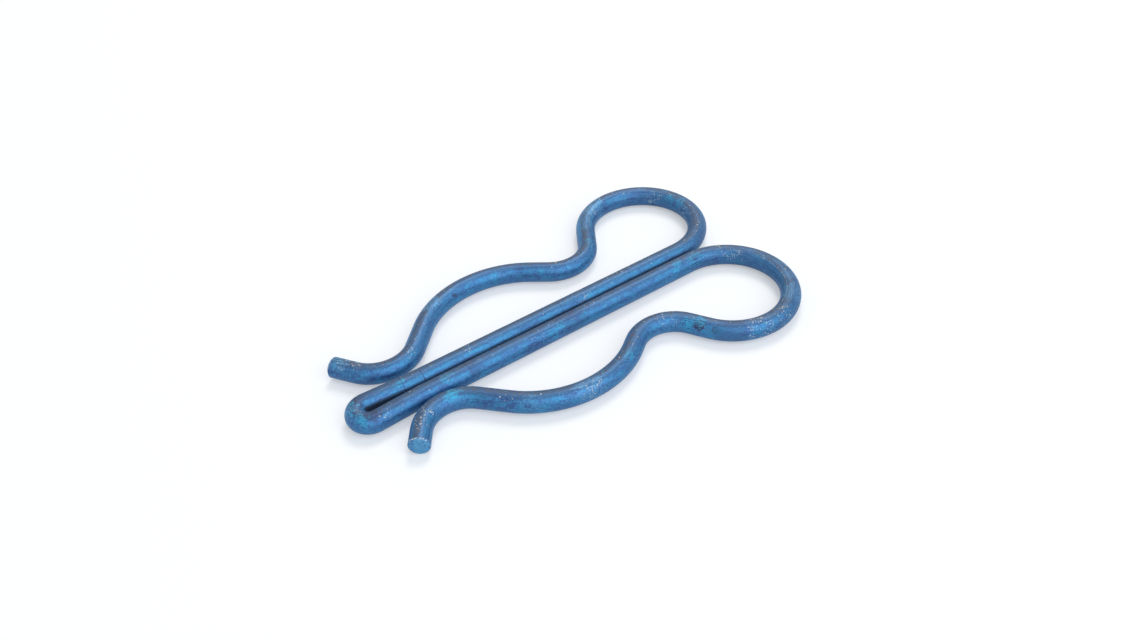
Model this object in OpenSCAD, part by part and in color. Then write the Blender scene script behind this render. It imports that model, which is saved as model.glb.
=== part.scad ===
// Double R-clip: one length of round spring wire, bent flat.
// From a cut end the wire runs through a flared lead-in, a grip bend, a wide arch, a throat bend
// and a round loop, then along one leg of the tongue to the return bend at its tip, and back the same
// way on the other side. The tongue goes through the cross hole of a shaft and the arches close on it.
// The clip lies in the XY plane with its tongue along X, the tip at -X and the loops at +X.

/* [Wire] */
// Diameter of the round wire
wire_d = 4; // [2.5:0.1:5]
// Bevel left round the edge of each cut end
end_bevel = 0.25; // [0.05:0.05:0.5]

/* [Tongue] */
// Length of the tongue, from the outside of its tip to where the loops start
tongue_l = 76; // [60:0.5:110]
// Hairline between the legs where they run side by side
leg_gap = 0.1; // [0.05:0.05:0.5]
// Inside radius of the return bend at the tip
tip_inner_r = 0.55; // [0.4:0.05:2]
// Steepest angle at which the legs close up behind the return bend
tip_taper = 3.21; // [2:0.01:10]
// Inside radius of the soft bend in which a leg straightens
leg_settle_inner_r = 22; // [10:1:60]

/* [Loops] */
// Inside radius of a loop
loop_inner_r = 9.9; // [6.5:0.1:15]
// Steepest slope of the wire from a loop down to the throat
loop_slope = 59.48; // [30:0.01:80]

/* [Arms] */
// Inside radius of the throat and grip bends
bend_inner_r = 5.6; // [3:0.1:8]
// Inside radius of the arch
arch_inner_r = 17.2; // [10:0.1:25]
// Clear height between the leg and the top of the arch
arch_gap = 13.1; // [10:0.1:18]
// Clear gap between the leg and the grip bend
grip_gap = 0.1; // [0.05:0.05:2]
// Steepest slope of the wire from the throat up into the arch
arch_rise_slope = 36.72; // [20:0.01:60]
// Steepest slope of the wire from the arch down to the grip bend
arch_fall_slope = 47.08; // [20:0.01:60]
// Slope of the lead-in behind the grip bend
lead_slope = 54.94; // [30:0.01:75]

/* [Left arm] */
// Clear gap between the leg and the throat bend
left_throat_gap = 5.4; // [3:0.1:9]
// How far the arm has sprung open about its loop, in degrees
left_opening = 1.37; // [0:0.01:6]
// Straight length of the lead-in
left_lead_l = 5; // [2:0.1:12]

/* [Right arm] */
// Clear gap between the leg and the throat bend
right_throat_gap = 6.7; // [3:0.1:9]
// How far the arm has sprung open about its loop, in degrees
right_opening = 0; // [0:0.01:6]
// Straight length of the lead-in
right_lead_l = 3.8; // [2:0.1:12]

/* [Hidden] */
$fn = 48;

wire_r = wire_d / 2;
tip_r = tip_inner_r + wire_r;
leg_settle_r = leg_settle_inner_r + wire_r;
loop_r = loop_inner_r + wire_r;
bend_r = bend_inner_r + wire_r;
arch_r = arch_inner_r + wire_r;

// How far the two halves of a bend lap in its middle, in degrees
bend_lap = 1;
// How much thicker or thinner a turn may make the wire behind it, as a share
stretch_limit = 2e-8;
// A straight shorter than this is left out
shortest_straight = 0.01;

// Distance from the tongue's middle line to the wire's middle, at each level where the wire turns
leg_y = wire_r + leg_gap / 2;
loop_y = leg_y + 2 * loop_r;
arch_y = leg_y + wire_d + arch_gap;
grip_y = leg_y + wire_d + grip_gap;

// The middle of the clip's length, from the outside of its tip to the back of its loops
clip_middle = (tongue_l + loop_r + wire_r) / 2;

// Two bends that turn opposite ways, a rise apart and with radii adding up to r_sum, are joined by a
// straight. It has the wanted slope, or the slope at which the bends meet if that one is too steep.
function joining_slope(rise, r_sum, wanted) = min(wanted, acos(max(-1, 1 - rise / r_sum)));
function joining_length(rise, r_sum, slope) = max(0, (rise - r_sum * (1 - cos(slope))) / sin(slope));

// The wire behind a bend keeps its thickness only where the sine and cosine of the bend's turn, each to
// six figures, still make up a pure rotation. This is the nearest turn to the wanted one that does.
function six_figures(x) =
    let (unit = x == 0 ? 1 : pow(10, floor(log(abs(x))) - 5))
    round(x / unit) * unit;
function stretch(turn) = abs(pow(six_figures(cos(turn)), 2) + pow(six_figures(sin(turn)), 2) - 1);
function pure_turn(wanted, tries = 0) =
    let (turn = wanted + (tries % 2 == 0 ? tries : -tries - 1) * 0.0005)
    stretch(turn) < stretch_limit ? turn : pure_turn(wanted, tries + 1);

// A run of wire is a list of [length, radius, turn]: a straight where the radius is 0, and otherwise
// a bend, to the left where its turn is positive
function straight(length) = [length < shortest_straight ? 0 : length, 0, 0];
function bend(radius, turn) = [0, radius, sign(turn) * pure_turn(abs(turn))];

// The tongue's side, from the return bend to the loop
taper_rise = tip_r - leg_y;
taper = pure_turn(joining_slope(taper_rise, tip_r + leg_settle_r, tip_taper));
taper_l = joining_length(taper_rise, tip_r + leg_settle_r, taper);
leg_l = tongue_l - wire_r - tip_r - (tip_r + leg_settle_r) * sin(taper) - taper_l * cos(taper);
tongue_runs = [straight(taper_l), bend(leg_settle_r, taper), straight(leg_l)];

// An arm, from the end of the tongue to the cut end
function arm_runs(throat_gap, opening, lead_l) =
    let (throat_y = leg_y + wire_d + throat_gap,
         loop_a = joining_slope(loop_y - throat_y, loop_r + bend_r, loop_slope),
         rise_a = joining_slope(arch_y - throat_y, arch_r + bend_r, arch_rise_slope),
         fall_a = joining_slope(arch_y - grip_y, arch_r + bend_r, arch_fall_slope))
    [bend(loop_r, 180 + loop_a - opening),
     straight(joining_length(loop_y - throat_y, loop_r + bend_r, loop_a)),
     bend(bend_r, -loop_a - rise_a),
     straight(joining_length(arch_y - throat_y, arch_r + bend_r, rise_a)),
     bend(arch_r, rise_a + fall_a),
     straight(joining_length(arch_y - grip_y, arch_r + bend_r, fall_a)),
     bend(bend_r, -fall_a - lead_slope),
     straight(lead_l - end_bevel)];

// The wire is laid from the origin along X
module straight_wire(length)
    rotate([0, 90, 0])
        cylinder(h = length, r = wire_r);

// A bend is laid from both its ends, in halves that lap in the middle. The back half ends at the origin.
module half_bend(radius, turn, back = false) {
    half_turn = round(abs(turn) * 100) / 200 + bend_lap;
    first = turn > 0 ? -90 : 90;
    translate([0, sign(turn) * radius])
        rotate_extrude(angle = half_turn, start = (turn > 0) == back ? first - half_turn : first)
            translate([radius, 0])
                circle(r = wire_r);
}

module past_bend(radius, turn)
    translate([0, sign(turn) * radius])
        rotate(turn)
            translate([0, -sign(turn) * radius])
                children();

module cut_end()
    rotate([0, 90, 0])
        cylinder(h = end_bevel, r1 = wire_r, r2 = wire_r - end_bevel);

// Each run starts where the one before it ended
module wire(runs, count = 0) {
    length = runs[count][0];
    radius = runs[count][1];
    turn = runs[count][2];
    if (count == len(runs))
        cut_end();
    else if (radius > 0) {
        half_bend(radius, turn);
        past_bend(radius, turn) {
            half_bend(radius, turn, back = true);
            wire(runs, count + 1);
        }
    } else {
        if (length > 0)
            straight_wire(length);
        translate([length, 0])
            wire(runs, count + 1);
    }
}

// One side of the clip, from the middle of the return bend to a cut end. The left side is at side = 1.
module side_of_clip(side, throat_gap, opening, lead_l) {
    runs = concat(tongue_runs, arm_runs(throat_gap, opening, lead_l));
    translate([wire_r + tip_r, 0])
        rotate(-side * taper)
            translate([0, side * tip_r]) {
                half_bend(tip_r, side * (-180 - 2 * taper), back = true);
                wire([for (run = runs) [run[0], run[1], side * run[2]]]);
            }
}

module wire_clip()
    color("steelblue")
        translate([-clip_middle, 0, wire_r]) {
            side_of_clip(1, left_throat_gap, left_opening, left_lead_l);
            side_of_clip(-1, right_throat_gap, right_opening, right_lead_l);
        }

wire_clip();
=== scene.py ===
import math
from functools import reduce
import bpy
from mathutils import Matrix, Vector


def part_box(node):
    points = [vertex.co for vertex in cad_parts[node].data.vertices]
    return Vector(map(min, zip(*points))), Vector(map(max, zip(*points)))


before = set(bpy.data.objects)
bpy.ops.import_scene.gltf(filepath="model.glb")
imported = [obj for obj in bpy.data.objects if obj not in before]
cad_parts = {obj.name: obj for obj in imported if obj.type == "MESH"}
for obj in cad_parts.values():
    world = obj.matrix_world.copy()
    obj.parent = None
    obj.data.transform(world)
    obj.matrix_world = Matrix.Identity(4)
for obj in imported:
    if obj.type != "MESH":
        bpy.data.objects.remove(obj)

from types import SimpleNamespace

import bpy
from bpy.props import FloatProperty, FloatVectorProperty, PointerProperty
from mathutils import Quaternion, Vector

bl_info = {
    "name": "Double R-clip",
    "version": (1, 0, 0),
    "blender": (4, 5, 0),
    "location": "View3D > Sidebar > R-clip",
    "description": "Finishes a double R-clip of blue spring wire and sets it on a pale stage",
    "category": "Object",
}

CLIP_NODE = "wire_clip"
CLIP_LOW, CLIP_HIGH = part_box(CLIP_NODE)
MM = 1000.0  # millimetres in a metre: the finish is measured in millimetres
WIRE_RADIUS = (CLIP_HIGH.z - CLIP_LOW.z) / 2 * MM
WHITE = (1.0, 1.0, 1.0)
FLOOR_GAP = 0.00002  # metres between the wire's underside and the floor
FLOOR_FADE = (0.2, 0.6)  # metres from the floor's middle at which it starts to whiten, and is white
BUMP_DEPTH = 0.00008  # metres that the finish stands proud where it is highest
SENSOR_WIDTH = 36.0  # the camera's, in millimetres
CAMERA_RANGE = (0.01, 10.0)  # the nearest and furthest that the camera sees, in metres

# The wire's bends, in millimetres: the middle that each turns about, and its radius out to the
# wire's middle. The tip is at -X, the loops are at +X, and the left side is at +Y.
TIP = (-40.4, 0.0, 2.5)
LEFT_LOOP, RIGHT_LOOP = (31.0, 14.0, 12.0), (31.0, -14.0, 12.0)
LEFT_ARCH, RIGHT_ARCH = (-8.1, 0.9, 19.2), (-5.3, 0.0, 19.2)
LEFT_GRIP, RIGHT_GRIP = (-31.5, 15.2, 7.6), (-29.0, -13.8, 7.6)
RIGHT_THROAT = (12.2, -20.4, 7.6)


def on_bend(bend, turn, out, up):
    """A place on a bend: degrees round it from +X, mm out from the wire's middle, and mm up."""
    x, y, radius = bend
    turn = math.radians(turn)
    return (x + (radius + out) * math.cos(turn), y + (radius + out) * math.sin(turn), up)


# Where the wire is marked: the middle of each mark in millimetres, how far it reaches from there,
# and how strong it is
FRESH_CHIPS = (
    (on_bend(TIP, 145, 0.5, 3.5), 1.2, 0.7),
    (on_bend(TIP, 170, 0.5, 3.5), 0.9, 0.8),
    (on_bend(TIP, 195, 0.5, 3), 0.9, 0.9),
    (on_bend(TIP, 215, 1, 4), 1.0, 0.9),
    (on_bend(TIP, 230, 1, 3.5), 1.1, 0.9),
    (on_bend(RIGHT_GRIP, 80, -0.5, 4), 1.6, 0.8),
    (on_bend(RIGHT_GRIP, 70, 0, 4), 1.1, 0.6),
    (on_bend(RIGHT_THROAT, 15, -0.5, 4), 1.6, 0.9),
    (on_bend(RIGHT_THROAT, 30, -1.5, 3), 1.5, 0.8),
    (on_bend(RIGHT_ARCH, -65, 1, 4), 1.5, 0.4),
    (on_bend(LEFT_LOOP, 15, -1.5, 3.5), 1.2, 0.6),
    (on_bend(LEFT_LOOP, 0, -1, 3.5), 1.1, 0.5),
    ((-40, 14, 3), 1.8, 0.3),
    ((-33.5, 1.5, 4), 1.3, 0.5),
    ((-26, -2.5, 4), 1.6, 0.4),
    ((-1.5, -3.5, 3.5), 1.2, 0.5),
    ((27, -3, 3.5), 1.7, 0.5),
    ((31.5, -3.5, 3.5), 2.2, 0.4),
)
DARK_BLOTCHES = (
    (on_bend(TIP, 130, 0, 4), 2.0, 0.6),
    (on_bend(TIP, 260, 0, 4), 1.9, 0.6),
    (on_bend(RIGHT_THROAT, 10, -1, 3.5), 1.4, 1.0),
    (on_bend(RIGHT_THROAT, -10, 1, 3), 1.2, 0.6),
    (on_bend(RIGHT_LOOP, 230, 1.5, 2.5), 3.5, 0.3),
    (on_bend(LEFT_ARCH, 105, -1.5, 3), 0.8, 0.8),
    ((-36, -3, 4), 1.5, 0.25),
    ((-20.5, -3.5, 3.5), 1.8, 0.25),
    ((-12, 3.5, 3.5), 0.8, 0.9),
    ((0.5, -2.5, 3.5), 3.2, 0.3),
    ((2.5, -3.5, 3), 1.9, 0.3),
    ((31.5, -3, 4), 0.9, 0.6),
)
SCUFFED_PLACES = (
    (on_bend(TIP, 170, 0.5, 3), 1.8, 0.7),
    (on_bend(LEFT_LOOP, 115, 1.5, 3.5), 4.5, 0.8),
    (on_bend(LEFT_LOOP, 145, 0.5, 3.5), 3.0, 0.5),
    (on_bend(RIGHT_LOOP, -5, 1.5, 2.5), 2.6, 0.6),
    (on_bend(RIGHT_LOOP, -25, 0, 4), 1.6, 0.4),
    (on_bend(RIGHT_LOOP, -50, 0, 3), 3.0, 0.6),
    (on_bend(LEFT_ARCH, 120, 2, 3.5), 3.4, 0.8),
    (on_bend(RIGHT_ARCH, -95, 1.5, 3.5), 4.0, 0.5),
    (on_bend(RIGHT_ARCH, -125, 2.5, 3.5), 3.0, 0.4),
    ((-39.5, 14, 3.5), 2.6, 0.8),
)
PALE_FLECKS = (
    (on_bend(TIP, 170, 0, 4), 1.6, 0.9),
    (on_bend(LEFT_GRIP, 200, 0, 4), 1.8, 1.0),
    (on_bend(LEFT_GRIP, 215, 0, 4), 1.6, 1.0),
    (on_bend(LEFT_GRIP, 295, 1, 4), 1.5, 1.0),
    (on_bend(RIGHT_GRIP, 120, 0, 4), 1.8, 1.0),
    (on_bend(RIGHT_GRIP, 145, 0, 4), 2.2, 1.0),
    (on_bend(LEFT_ARCH, 125, 2, 4), 1.5, 1.0),
    (on_bend(RIGHT_ARCH, -95, 1, 3.5), 2.5, 0.9),
    (on_bend(RIGHT_THROAT, 75, -1, 3.5), 1.3, 0.9),
    (on_bend(RIGHT_THROAT, 50, -1.5, 3), 1.1, 0.9),
    (on_bend(LEFT_LOOP, 35, -2, 3), 1.8, 0.8),
    (on_bend(LEFT_LOOP, 120, -0.5, 4), 2.2, 0.8),
    (on_bend(LEFT_LOOP, -10, -3, 4), 2.4, 0.6),
    (on_bend(RIGHT_LOOP, 60, 0, 4), 0.8, 1.0),
    (on_bend(RIGHT_LOOP, 45, -2.5, 4), 2.6, 0.7),
    (on_bend(RIGHT_LOOP, -80, 0.5, 3), 2.4, 0.8),
    (on_bend(RIGHT_LOOP, -105, 1.5, 3), 3.2, 1.0),
    ((-38.5, -3.5, 3.5), 1.0, 1.0),
    ((-19, 2, 4), 1.1, 1.0),
    ((6.5, 1, 3.5), 1.6, 0.7),
)
# Tool marks across the wire: the middle, the wire's direction there in degrees, and how dark each is
TOOL_MARKS = (
    ((-33, 2), -3, 0.6),
    ((-29, 2), 0, 0.8),
    ((-21.5, -2), 0, 0.45),
    ((1.5, 2), 0, 0.5),
    ((-38, 11.5), 125, 0.4),
    ((-38.5, 12), 125, 0.3),
)
# The ways that the two cut ends face, in degrees round from +X
END_TURNS = (124, -125)
# How near the furthest point of an end its face lies, in millimetres
FACE_DEPTH = 0.1
# The way that the most rubbed side of the wire faces: up, and a little to the left
RUBBED_SIDE = (0.0, 0.29, 0.957)


def cut_end(turn):
    """The middle of the cut end that faces a way, in millimetres, and that way.

    No other place on the clip reaches as far that way.
    """
    way = Vector((math.cos(math.radians(turn)), math.sin(math.radians(turn)), 0.0))
    points = [vertex.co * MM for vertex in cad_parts[CLIP_NODE].data.vertices]
    furthest = max(point.dot(way) for point in points)
    face = [point for point in points if furthest - point.dot(way) < FACE_DEPTH]
    return tuple(sum(face, Vector()) / len(face)), tuple(way)


def plain_colour(red, green, blue):
    """A colour picked on a 0 to 255 scale, as the linear values that shaders take."""
    return tuple(
        c / 12.92 if c <= 0.04045 else ((c + 0.055) / 1.055) ** 2.4
        for c in (red / 255, green / 255, blue / 255)
    )


class Value:
    """A shader socket that takes part in Python sums."""

    def __init__(self, shop, socket):
        self.shop, self.socket = shop, socket

    def sum(self, operation, *terms):
        return self.shop.node("ShaderNodeMath", {"operation": operation}, dict(enumerate(terms)))

    def __add__(self, other):
        return self.sum("ADD", self, other)

    def __radd__(self, other):
        return self.sum("ADD", other, self)

    def __sub__(self, other):
        return self.sum("SUBTRACT", self, other)

    def __rsub__(self, other):
        return self.sum("SUBTRACT", other, self)

    def __mul__(self, other):
        return self.sum("MULTIPLY", self, other)

    def __rmul__(self, other):
        return self.sum("MULTIPLY", other, self)

    def __truediv__(self, other):
        return self.sum("DIVIDE", self, other)

    def most(self, other):
        return self.sum("MAXIMUM", self, other)

    def size(self):
        return self.sum("ABSOLUTE", self)

    def sign(self):
        return self.sum("SIGN", self)

    def rise(self, low, high):
        """0 below low and 1 above high, with a soft step between.

        It falls instead where low is the higher of the two.
        """
        return self.shop.node(
            "ShaderNodeMapRange",
            {"interpolation_type": "SMOOTHSTEP"},
            {"Value": self, "From Min": low, "From Max": high, "To Min": 0.0, "To Max": 1.0},
        )

    def within(self, outer_low, low, high, outer_high):
        """1 between low and high and 0 outside the outer two, with soft steps between."""
        return self.rise(outer_low, low) * self.rise(outer_high, high)


def strongest(masks):
    """The highest of some masks at each place."""
    return reduce(Value.most, masks)


class NodeShop:
    """The nodes of a material or a world, every one of them added by one method."""

    def __init__(self, owner):
        owner.use_nodes = True
        self.owner, self.tree = owner, owner.node_tree
        self.tree.nodes.clear()

    def node(self, kind, settings, sockets, output=0):
        """Adds a node and gives back one of its outputs, where it has any."""
        made = self.tree.nodes.new(kind)
        for name, setting in settings.items():
            setattr(made, name, setting)
        for name, value in sockets.items():
            if isinstance(value, Value):
                self.tree.links.new(value.socket, made.inputs[name])
            else:
                made.inputs[name].default_value = value
        return Value(self, made.outputs[output]) if made.outputs else None

    def blend(self, under, over, share):
        """The colour under, covered by the colour over where share is 1."""
        colours = {
            place: colour if isinstance(colour, Value) else (*colour, 1.0)
            for place, colour in ((6, under), (7, over))
        }
        return self.node("ShaderNodeMix", {"data_type": "RGBA"}, {0: share, **colours}, 2)

    def coated(self, colour, *coats):
        """The colour, covered by each coat in turn. A coat is a colour and its share at each place."""
        for over, share in coats:
            colour = self.blend(colour, over, share)
        return colour

    def vector(self, operation, *terms):
        """A vector that is worked out from vectors."""
        return self.node("ShaderNodeVectorMath", {"operation": operation}, dict(enumerate(terms)))

    def measure(self, operation, *terms):
        """A number that is worked out from vectors, such as a length."""
        settings, sockets = {"operation": operation}, dict(enumerate(terms))
        return self.node("ShaderNodeVectorMath", settings, sockets, "Value")

    def scaled(self, vector, scale):
        return self.node("ShaderNodeVectorMath", {"operation": "SCALE"}, {0: vector, 3: scale})

    def joined(self, x, y, z):
        return self.node("ShaderNodeCombineXYZ", {}, {0: x, 1: y, 2: z})

    def split(self, vector):
        made = self.node("ShaderNodeSeparateXYZ", {}, {0: vector})
        return [Value(self, output) for output in made.socket.node.outputs]

    def cloud(self, vector, scale, detail, roughness=0.55, distortion=0.0, output="Fac"):
        """Soft noise, with as many cells to each unit of the vector as its scale says."""
        return self.node(
            "ShaderNodeTexNoise",
            {},
            {
                "Vector": vector,
                "Scale": scale,
                "Detail": detail,
                "Roughness": roughness,
                "Distortion": distortion,
            },
            output,
        )

    def specks(self, vector, scale, radius, share):
        """Round specks in a share of the cells of a cell pattern, each of its own size."""
        settings, sockets = {"feature": "F1"}, {"Vector": vector, "Scale": scale}
        distance = self.node("ShaderNodeTexVoronoi", settings, sockets, "Distance")
        colour = self.node("ShaderNodeTexVoronoi", settings, sockets, "Color")
        chosen, size, _ = self.split(colour)
        reach = radius * (0.35 + size)
        return chosen.rise(1 - share, 1 - share + 0.02) * (distance / reach).rise(1.0, 0.7)

    def done(self, kind, surface):
        """Ends the tree in an output of that kind, and gives back what the tree belongs to."""
        self.node(kind, {}, {"Surface": surface})
        return self.owner


class ClipFinish(bpy.types.PropertyGroup):
    """The colours and the gloss of the wire's finish"""

    body: FloatVectorProperty(
        name="Blue",
        description="Main colour of the plated wire",
        subtype="COLOR",
        default=plain_colour(60, 108, 158),
    )
    deep: FloatVectorProperty(
        name="Deep blue",
        description="Colour of the darker, purplish clouds in the plating",
        subtype="COLOR",
        default=plain_colour(54, 82, 132),
    )
    bright: FloatVectorProperty(
        name="Bright blue",
        description="Colour of the brightest clouds in the plating",
        subtype="COLOR",
        default=plain_colour(54, 136, 180),
    )
    # This colour is also painted as shade along the top of the wire
    dull: FloatVectorProperty(
        name="Dull blue",
        description="Colour of the loops, where the plating is dulled by handling",
        subtype="COLOR",
        default=plain_colour(58, 86, 122),
    )
    crest: FloatVectorProperty(
        name="Rubbed crest",
        description="Colour of the band along the top of the wire, where it is rubbed dull",
        subtype="COLOR",
        default=plain_colour(55, 78, 103),
    )
    worn: FloatVectorProperty(
        name="Worn spots",
        description="Colour of the brownish grain in the rubbed band",
        subtype="COLOR",
        default=plain_colour(96, 88, 88),
    )
    # This colour is also painted as light along the lower side of the wire
    cut: FloatVectorProperty(
        name="Cut ends",
        description="Colour of the two cut faces, and of pale scuffs in the plating",
        subtype="COLOR",
        default=plain_colour(94, 152, 194),
    )
    fresh: FloatVectorProperty(
        name="Fresh chips",
        description="Colour of the chips in the plating",
        subtype="COLOR",
        default=plain_colour(58, 160, 198),
    )
    fleck: FloatVectorProperty(
        name="Pale flecks",
        description="Colour of the specks and scratches that go through the plating",
        subtype="COLOR",
        default=plain_colour(208, 214, 208),
    )
    dark: FloatVectorProperty(
        name="Dark marks",
        description="Colour of the stains and the tool marks",
        subtype="COLOR",
        default=plain_colour(44, 48, 84),
    )
    # Painted shade: the dark colour that stands for the shade in the slit between the legs and inside
    # the return bend
    slit_shade: FloatVectorProperty(
        name="Slit shade",
        description="Colour of the dirt in the slit between the legs",
        subtype="COLOR",
        default=plain_colour(14, 18, 34),
    )
    roughness: FloatProperty(
        name="Roughness",
        description="Roughness of the clean plating",
        subtype="FACTOR",
        default=0.48,
        min=0.0,
        max=1.0,
    )
    metallic: FloatProperty(
        name="Metal",
        description="How much the clean plating looks like metal",
        subtype="FACTOR",
        default=0.8,
        min=0.0,
        max=1.0,
    )


class ClipStage(bpy.types.PropertyGroup):
    """The floor, the lamps, the sky and the camera"""

    floor_size: FloatProperty(
        name="Floor",
        description="Side of the square floor",
        unit="LENGTH",
        default=3.0,
    )
    floor_colour: FloatVectorProperty(
        name="Floor colour",
        description="Colour of the floor",
        subtype="COLOR",
        default=plain_colour(242, 246, 251),
    )
    shadow_lift: FloatProperty(
        name="Shadow lift",
        description="How far the camera sees the floor's shadows lightened",
        subtype="FACTOR",
        default=0.35,
        min=0.0,
        max=1.0,
    )
    key_power: FloatProperty(
        name="Key lamp",
        description="Power of the warm soft lamp behind the clip",
        unit="POWER",
        default=12.2,
        min=0.0,
    )
    key_width: FloatProperty(
        name="Key width",
        description="Width of the key lamp's round face",
        unit="LENGTH",
        default=0.75,
    )
    key_place: FloatVectorProperty(
        name="Key place",
        description="Place of the key lamp, which points at the clip",
        subtype="TRANSLATION",
        default=(0.75, 0.68, 1.35),
    )
    key_colour: FloatVectorProperty(
        name="Key colour",
        description="Colour of the key lamp's light",
        subtype="COLOR",
        default=(1.0, 0.94, 0.86),
    )
    fill_power: FloatProperty(
        name="Fill lamp",
        description="Power of the cool softbox over the camera",
        unit="POWER",
        default=15.5,
        min=0.0,
    )
    fill_width: FloatProperty(
        name="Fill width",
        description="Width of the fill lamp's round face",
        unit="LENGTH",
        default=2.0,
    )
    fill_place: FloatVectorProperty(
        name="Fill place",
        description="Place of the fill lamp, which points at the clip",
        subtype="TRANSLATION",
        default=(0.15, -1.1, 1.1),
    )
    fill_colour: FloatVectorProperty(
        name="Fill colour",
        description="Colour of the fill lamp's light",
        subtype="COLOR",
        default=(0.94, 0.97, 1.0),
    )
    sky: FloatProperty(
        name="Sky",
        description="Strength of the even light from all round",
        default=0.54,
        min=0.0,
    )
    sky_colour: FloatVectorProperty(
        name="Sky colour",
        description="Colour of the even light from all round",
        subtype="COLOR",
        default=plain_colour(249, 252, 255),
    )
    camera_target: FloatVectorProperty(
        name="Camera target",
        description="The point that the camera looks at",
        subtype="TRANSLATION",
        default=(0.00284, 0.00046, 0.0),
    )
    camera_distance: FloatProperty(
        name="Camera distance",
        description="From the camera to its target",
        unit="LENGTH",
        default=0.19704,
    )
    camera_turn: FloatProperty(
        name="Camera turn",
        description="The camera's angle round the clip",
        subtype="ANGLE",
        default=math.radians(-32.449),
    )
    camera_height: FloatProperty(
        name="Camera height",
        description="The camera's angle above the floor",
        subtype="ANGLE",
        default=math.radians(40.451),
    )
    camera_tilt: FloatProperty(
        name="Camera tilt",
        description="How far the camera leans to one side",
        subtype="ANGLE",
        default=math.radians(4.104),
    )
    camera_lens: FloatProperty(
        name="Camera lens",
        description="Focal length on a 36 mm sensor, in millimetres",
        unit="CAMERA",
        default=31.868,
    )


def nearness(shop, place, marks):
    """How strongly a place is marked: each mark's strength inside it, and 0 away from them all."""
    return strongest(
        (shop.measure("DISTANCE", place, middle) / reach).rise(1.0, 0.7) * strength
        for middle, reach, strength in marks
    )


def drawn_out(shop, mm, facing, along, across, detail, roughness=0.55):
    """Noise drawn out along the wire: it changes faster round the wire, as the surface turns."""
    stretched = shop.vector("ADD", shop.scaled(facing, across), shop.scaled(mm, along))
    return shop.cloud(stretched, scale=1.0, detail=detail, roughness=roughness)


def wire_patterns(shop):
    """Where a place on the wire is, in millimetres, and the noises that the finish is made from.

    The wire lies on z = 0, so its middle is at z = 2 and its crest at z = 4.
    """
    mm = shop.scaled(shop.node("ShaderNodeTexCoord", {}, {}, "Object"), MM)
    facing = shop.node("ShaderNodeTexCoord", {}, {}, "Normal")
    x, y, z = shop.split(mm)
    sway = shop.cloud(mm, scale=1.1, detail=4.0, roughness=0.5, output="Color")
    sway = shop.vector("SUBTRACT", sway, (0.5, 0.5, 0.5))
    return SimpleNamespace(
        mm=mm,
        x=x,
        y=y,
        z=z,
        facing=facing,
        handled=x.rise(25.0, 39.0),  # rises to 1 across the loops, which fingers pull on
        ragged=shop.vector("ADD", mm, shop.scaled(sway, 3.2)),  # for marks with a ragged outline
        clouds=shop.cloud(mm, scale=0.14, detail=3.0),
        patches=shop.cloud(mm, scale=0.45, detail=5.0, roughness=0.6, distortion=0.5),
        grain=shop.cloud(mm, scale=2.4, detail=6.0, roughness=0.7),
        streaks=drawn_out(shop, mm, facing, along=0.28, across=4.5, detail=5.0, roughness=0.65),
        scuffs=drawn_out(shop, mm, facing, along=0.45, across=11.0, detail=3.0),
        hairlines=drawn_out(shop, mm, facing, along=0.6, across=16.0, detail=4.0, roughness=0.7),
    )


def clouded_blue(shop, look, wire):
    """The clean plating: clouds and grain, brighter on the left leg, duller on the loops, and with
    painted shade along the top of the wire.
    """
    grain, patches, streaks = wire.grain, wire.patches, wire.streaks
    blue = (wire.clouds + (streaks - 0.5) * 0.4).rise(0.28, 0.52)
    bright = (patches * 0.6 + streaks * 0.5).rise(0.48, 0.7)
    deep = (streaks * 0.6 + grain * 0.5).rise(0.56, 0.42)
    left_leg = wire.y.within(0.0, 1.2, 3.8, 4.4) * wire.x.within(-38.0, -33.0, 32.0, 38.0)
    dulled = wire.handled * (patches * 0.5 + streaks * 0.5).rise(0.3, 0.6) * 0.5
    return shop.coated(
        shop.blend(look.deep, look.body, blue),
        (look.bright, bright * 0.7),
        (look.deep, deep * 0.35),
        (look.bright, left_leg * streaks.rise(0.3, 0.6) * 0.45),
        (look.cut, grain.rise(0.5, 0.68) * 0.4),
        (look.dark, grain.rise(0.49, 0.33) * 0.45),
        # The loops are dulled by handling; the band along the top of the wire is painted shade
        (look.dull, dulled.most(wire.z.rise(3.6, 3.92) * 0.8)),
    )


def rubbed_crest(shop, wire):
    """The band along the top of the wire that is rubbed dull, wider on the loops."""
    rubbed = (wire.patches * 0.3 + wire.grain * 0.7 + wire.streaks * 0.5).rise(0.64, 0.86)
    upward = shop.measure("DOT_PRODUCT", wire.facing, RUBBED_SIDE)
    return upward.rise(0.87 - wire.handled * 0.12, 0.97) * (0.35 + rubbed * 0.65)


def scuffs_in_plating(shop, wire):
    """The places that are scuffed pale, in broken lines along the wire."""
    broken = (wire.scuffs * 0.5 + wire.grain * 0.5).rise(0.4, 0.58)
    return nearness(shop, wire.ragged, SCUFFED_PLACES) * broken


def stains(shop, wire):
    """Dark blotches, and a few dark specks all over."""
    blotches = nearness(shop, wire.ragged, DARK_BLOTCHES) * wire.grain.rise(0.36, 0.52)
    return blotches.most(shop.specks(wire.mm, scale=0.9, radius=0.16, share=0.1) * 0.8)


def chips_in_plating(shop, wire):
    """The larger chips, and scattered smaller ones."""
    broken = (wire.grain * 0.5 + wire.scuffs * 0.5).rise(0.44, 0.56)
    scattered = wire.patches.rise(0.64, 0.7) * wire.grain.rise(0.46, 0.6) * 0.6
    return (nearness(shop, wire.ragged, FRESH_CHIPS) * broken).most(scattered)


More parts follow.
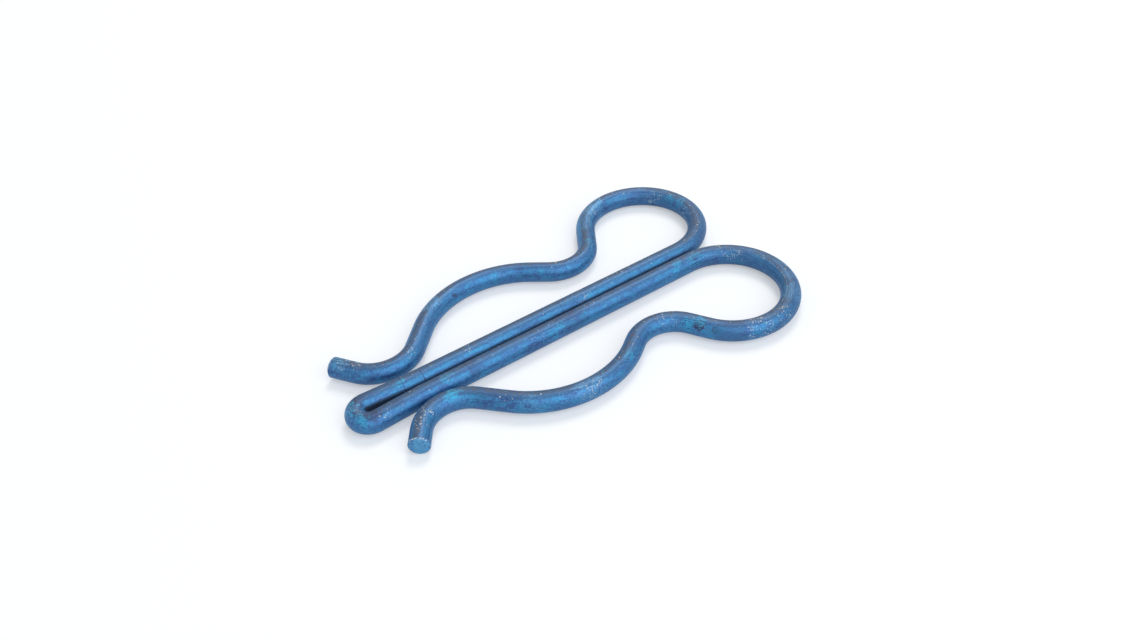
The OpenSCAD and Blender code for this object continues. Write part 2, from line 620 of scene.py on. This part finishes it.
def tool_lines(shop, wire):
    """Marks across the wire, where it was held and bent: faint ones on the legs, and the tool marks."""
    x, y, grain = wire.x, wire.y, wire.grain
    legs = y.size().rise(4.3, 4.0) * x.within(-36.0, -33.0, 28.0, 31.0)
    squeezed = shop.joined(x * 2.6, y * 0.25, wire.z * 0.25)
    across = shop.cloud(squeezed, scale=1.0, detail=3.0, roughness=0.7)
    lines = [legs * across.rise(0.6, 0.7) * wire.clouds.rise(0.46, 0.58) * 0.35]
    for (middle_x, middle_y), turn, darkness in TOOL_MARKS:
        run_x, run_y = math.cos(math.radians(turn)), math.sin(math.radians(turn))
        run = (x - middle_x) * run_x + (y - middle_y) * run_y
        aside = (x - middle_x) * -run_y + (y - middle_y) * run_x
        line = (run + (grain - 0.5) * 0.4).size().rise(0.17, 0.05) * aside.size().rise(2.3, 2.0)
        lines.append(line * grain.rise(0.38, 0.55) * darkness)
    return strongest(lines)


def pale_flecks(shop, wire, crest):
    """Small flecks and grazes along the crest, and clusters of flecks where the wire was knocked."""
    fine = shop.specks(wire.mm, scale=2.0, radius=0.22, share=0.1 + crest * 0.22)
    coarse = shop.specks(wire.ragged, scale=2.3, radius=0.4, share=0.55)
    knocked = nearness(shop, wire.ragged, PALE_FLECKS)
    grazes = wire.scuffs.rise(0.66, 0.72) * wire.z.rise(2.9, 3.4) * wire.grain.rise(0.45, 0.6) * 0.6
    return strongest((fine * wire.z.rise(3.45, 3.8), coarse * knocked, grazes))


def cut_faces(shop, wire):
    """The two cut faces, and the upper edge of each one's rim, which is rubbed bare."""
    faces, rims = [], []
    for middle, facing_out in map(cut_end, END_TURNS):
        away = shop.vector("SUBTRACT", wire.mm, middle)
        depth = shop.measure("DOT_PRODUCT", away, facing_out)
        near = shop.measure("LENGTH", away).rise(WIRE_RADIUS + 0.9, WIRE_RADIUS + 0.6)
        broken = (depth + (wire.grain - 0.5) * 0.25).rise(-0.39, -0.29)
        faces.append(depth.rise(-0.22, -0.1) * near)
        rims.append(broken * depth.rise(-0.1, -0.18) * near)
    bare = wire.z.rise(2.7, 3.4) * wire.grain.rise(0.42, 0.54) * 0.8
    return strongest(faces), strongest(rims) * bare


def cut_colour(shop, look, wire):
    """The cut faces are a brighter blue than the rest, and mottled."""
    return shop.coated(
        look.cut,
        (look.body, (wire.patches * 0.3 + wire.grain * 0.7).rise(0.55, 0.43)),
        (look.fresh, (wire.patches * 0.5 + wire.grain * 0.5).rise(0.48, 0.6) * 0.2),
    )


def painted_slit_shade(shop, wire):
    """Painted shade in the slit between the legs, on the sides that face each other, and inside the
    return bend, where shade falls.
    """
    x, y = wire.x, wire.y
    inward = shop.split(wire.facing)[1] * y.sign() * -1.0
    slit = inward.rise(0.78, 0.97) * y.size().rise(2.6, 2.3) * x.within(-40.5, -40.0, 31.0, 34.0)
    from_tip = shop.measure("DISTANCE", shop.joined(x, y, 0.0), (*TIP[:2], 0.0))
    return slit.most(from_tip.rise(1.0, 0.7))


def blue_plating(look):
    """Blue-plated spring steel, clouded, rubbed along its crest, chipped and specked."""
    shop = NodeShop(bpy.data.materials.new("blue_spring_steel_finish"))
    wire = wire_patterns(shop)
    grain, hairlines, handled, z = wire.grain, wire.hairlines, wire.handled, wire.z

    crest = rubbed_crest(shop, wire)
    worn = shop.blend(look.crest, look.worn, (grain * 0.8 + wire.scuffs * 0.2).rise(0.47, 0.6))
    dark = stains(shop, wire)
    chips = chips_in_plating(shop, wire)
    lines = tool_lines(shop, wire)
    dust = shop.specks(wire.mm, scale=2.7, radius=0.22, share=0.22)
    dust = dust * z.rise(2.0, 3.0)  # on the upper side
    faces, rims = cut_faces(shop, wire)
    flecks = pale_flecks(shop, wire, crest).most(rims)
    # Painted shade in the slit between the legs and inside the return bend
    slit_shade = painted_slit_shade(shop, wire)

    colour = shop.coated(
        clouded_blue(shop, look, wire),
        (worn, crest * 0.85),
        (look.cut, scuffs_in_plating(shop, wire) * 0.7),
        (look.cut, hairlines.rise(0.54, 0.68) * (0.3 + handled * 0.25)),
        (look.dark, hairlines.rise(0.44, 0.32) * 0.3),
        # Painted light: the lower side of the wire is lightened with the pale blue, except on the loops
        (look.cut, z.rise(2.6, 1.2) * (1 - handled) * 0.14),
        (look.dark, dark),
        (look.fresh, chips * 0.9),
        (look.dark, lines),
        (look.fresh, dust * 0.45),
        (cut_colour(shop, look, wire), faces),
        (look.fleck, flecks * 0.85),
        # painted shade in the slit and the return bend
        (look.slit_shade, slit_shade * 0.9),
    )
    rough = look.roughness + (grain - 0.5) * 0.3 + crest * 0.16 + chips * 0.08 + flecks * 0.2
    # The painted slit shade also takes the metal's gloss away there
    metal = look.metallic * (1 - flecks) * (1 - crest * 0.2) * (1 - dark * 0.5) * (1 - slit_shade)
    raised = grain * 0.5 + wire.patches * 0.2 + wire.streaks * 0.3
    height = raised - chips * 0.35 - flecks * 0.3 - lines * 0.6
    bump = shop.node("ShaderNodeBump", {}, {"Strength": 0.5, "Distance": BUMP_DEPTH, "Height": height})
    sockets = {"Base Color": colour, "Roughness": rough, "Metallic": metal, "Normal": bump}
    plating = shop.node("ShaderNodeBsdfPrincipled", {}, sockets)
    return shop.done("ShaderNodeOutputMaterial", plating)


def seen_directly(shop):
    """1 where the camera sees a thing, also in metal or through glass, and 0 where it only lights."""
    rays = ("Is Camera Ray", "Is Glossy Ray", "Is Transmission Ray")
    return strongest(shop.node("ShaderNodeLightPath", {}, {}, ray) for ray in rays)


def white_paper(look):
    """Plain pale floor: it looks a little brighter than it is lit, so its shadows stay light.

    Far off it is white.
    """
    shop = NodeShop(bpy.data.materials.new("floor_white"))
    paper = shop.node("ShaderNodeBsdfDiffuse", {}, {"Color": (*look.floor_colour, 1.0)})
    glow = shop.node("ShaderNodeEmission", {}, {"Color": (*WHITE, 1.0), "Strength": 1.0})
    place = shop.node("ShaderNodeTexCoord", {}, {}, "Object")
    far = shop.measure("LENGTH", place).rise(*FLOOR_FADE)
    lift = (look.shadow_lift + far * (1 - look.shadow_lift)) * seen_directly(shop)
    floor = shop.node("ShaderNodeMixShader", {}, {0: lift, 1: paper, 2: glow})
    return shop.done("ShaderNodeOutputMaterial", floor)


def pale_sky(look):
    """Even light from all round, which the camera sees as white."""
    shop = NodeShop(bpy.data.worlds.new("pale_sky"))
    seen_by_camera = shop.node("ShaderNodeLightPath", {}, {}, "Is Camera Ray")
    colour = shop.blend(look.sky_colour, WHITE, seen_by_camera)
    strength = look.sky + seen_directly(shop) * (1 - look.sky)
    sky = shop.node("ShaderNodeBackground", {}, {"Color": colour, "Strength": strength})
    return shop.done("ShaderNodeOutputWorld", sky)


class CLIP_OT_finish_wire(bpy.types.Operator):
    """Gives the clip's wire its blue plating"""

    bl_idname = "clip.finish_wire"
    bl_label = "Finish the wire"

    def execute(self, context):
        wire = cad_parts[CLIP_NODE]
        if not wire.material_slots:
            raise RuntimeError("the wire has no material slot to finish")
        plating = blue_plating(context.scene.clip_finish)
        for slot in wire.material_slots:
            slot.material = plating
        return {"FINISHED"}


class CLIP_OT_set_stage(bpy.types.Operator):
    """Adds the floor, the lamps, the sky and the camera"""

    bl_idname = "clip.set_stage"
    bl_label = "Set the stage"

    def execute(self, context):
        look = context.scene.clip_stage
        self.add_floor(context, look)
        for lamp in (
            ("key_lamp", look.key_place, look.key_width, look.key_power, look.key_colour),
            ("fill_lamp", look.fill_place, look.fill_width, look.fill_power, look.fill_colour),
        ):
            self.add_lamp(context, *lamp)
        context.scene.world = pale_sky(look)
        self.set_camera(context, look)
        return {"FINISHED"}

    def add_floor(self, context, look):
        bpy.ops.object.select_all(action="DESELECT")
        place = (0, 0, CLIP_LOW.z - FLOOR_GAP)
        bpy.ops.mesh.primitive_plane_add(size=look.floor_size, location=place)
        floor = context.object
        floor.name = "floor"
        bpy.ops.object.transform_apply(location=True, rotation=True, scale=True)
        floor.data.materials.append(white_paper(look))

    def add_lamp(self, context, name, place, width, power, colour):
        bpy.ops.object.light_add(type="AREA", location=place)
        lamp = context.object
        lamp.name = name
        lamp.data.shape = "DISK"
        lamp.data.size = width
        lamp.data.energy = power
        lamp.data.color = colour
        lamp.rotation_euler = Vector(place).to_track_quat("Z", "Y").to_euler()

    def set_camera(self, context, look):
        turn, height = look.camera_turn, look.camera_height
        # The way from the target back to the camera
        back = Vector(
            (
                math.sin(turn) * math.cos(height),
                -math.cos(turn) * math.cos(height),
                math.sin(height),
            )
        )
        place = Vector(look.camera_target) + back * look.camera_distance
        bpy.ops.object.camera_add(location=place)
        camera = context.object
        camera.name = "camera"
        camera.rotation_mode = "QUATERNION"
        lean = Quaternion((0, 0, 1), -look.camera_tilt)
        camera.rotation_quaternion = (-back).to_track_quat("-Z", "Y") @ lean
        camera.data.sensor_width = SENSOR_WIDTH
        camera.data.lens = look.camera_lens
        camera.data.clip_start, camera.data.clip_end = CAMERA_RANGE
        context.scene.camera = camera


class CLIP_PT_maker(bpy.types.Panel):
    bl_label = "Double R-clip"
    bl_idname = "CLIP_PT_maker"
    bl_space_type = "VIEW_3D"
    bl_region_type = "UI"
    bl_category = "R-clip"

    def draw(self, context):
        for group, operator in (
            (context.scene.clip_finish, CLIP_OT_finish_wire),
            (context.scene.clip_stage, CLIP_OT_set_stage),
        ):
            box = self.layout.box()
            for name in group.__annotations__:
                box.prop(group, name)
            box.operator(operator.bl_idname)


CLASSES = (ClipFinish, ClipStage, CLIP_OT_finish_wire, CLIP_OT_set_stage, CLIP_PT_maker)


def register():
    for item in CLASSES:
        bpy.utils.register_class(item)
    bpy.types.Scene.clip_finish = PointerProperty(type=ClipFinish)
    bpy.types.Scene.clip_stage = PointerProperty(type=ClipStage)


def unregister():
    del bpy.types.Scene.clip_stage
    del bpy.types.Scene.clip_finish
    for item in reversed(CLASSES):
        bpy.utils.unregister_class(item)


def main():
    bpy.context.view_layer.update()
    register()
    bpy.context.scene.view_settings.view_transform = "Standard"
    bpy.ops.clip.set_stage()
    bpy.ops.clip.finish_wire()


if __name__ == "__main__":
    main()
